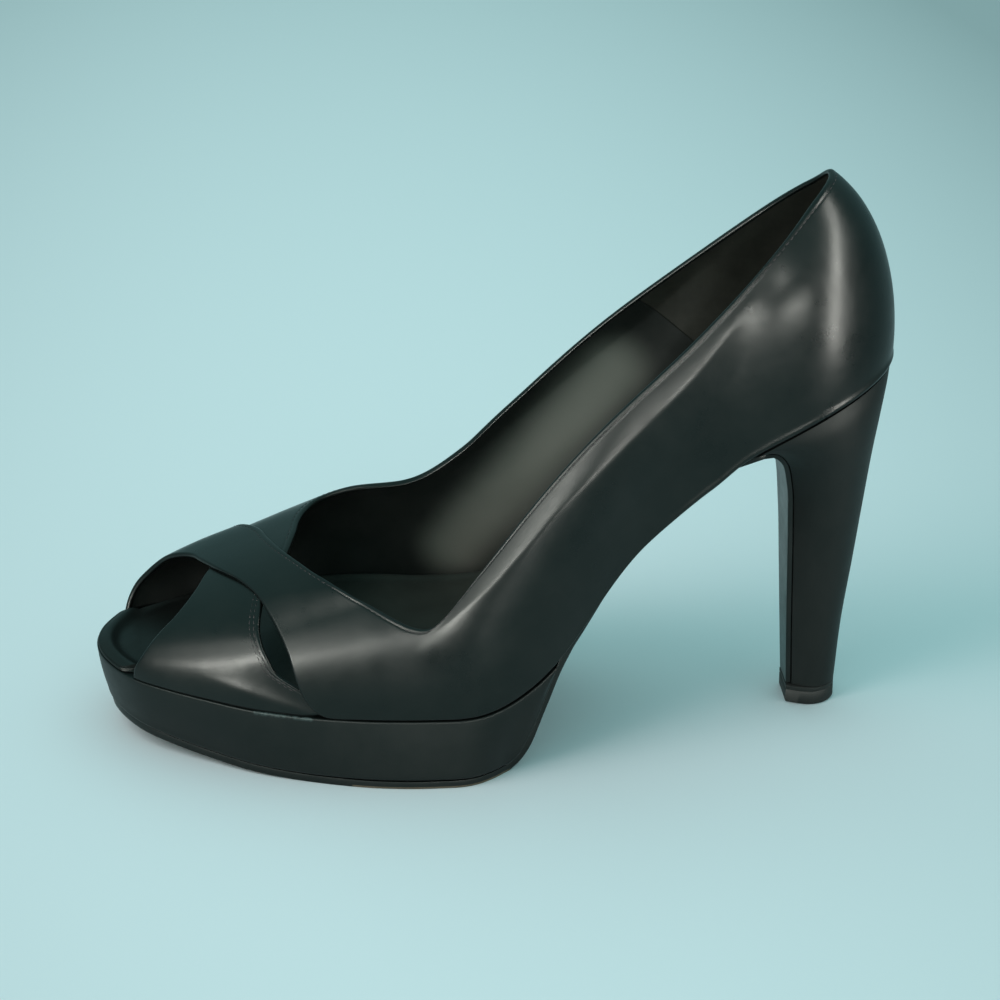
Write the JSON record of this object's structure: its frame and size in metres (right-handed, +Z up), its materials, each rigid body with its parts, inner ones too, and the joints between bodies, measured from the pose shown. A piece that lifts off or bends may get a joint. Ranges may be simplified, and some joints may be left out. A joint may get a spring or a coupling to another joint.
{
  "type": "peep toe pump",
  "caption": "Left peep toe pump with two crossed front bands and cut-outs between them, a wrapped platform under the ball and a high curved heel.",
  "frame": {"origin": "on the floor, under the centre of the shoe's box", "axes": "-Y toward the toe, +X toward the outer side of the foot, +Z up"},
  "size_m": [0.0868, 0.2324, 0.1698],
  "materials": {
    "upper_leather": "smooth, soft shine",
    "lining_leather": "matte",
    "platform_leather": "smooth, soft shine",
    "sole_leather": "matte",
    "heel_leather": "smooth, soft shine",
    "tip_rubber": "matte"
  },
  "bodies": {
    "root": {"upper": "upper_leather", "insole": "lining_leather", "platform": "platform_leather", "outsole": "sole_leather", "heel": "heel_leather", "top_piece": "tip_rubber"}
  },
  "joints": []
}
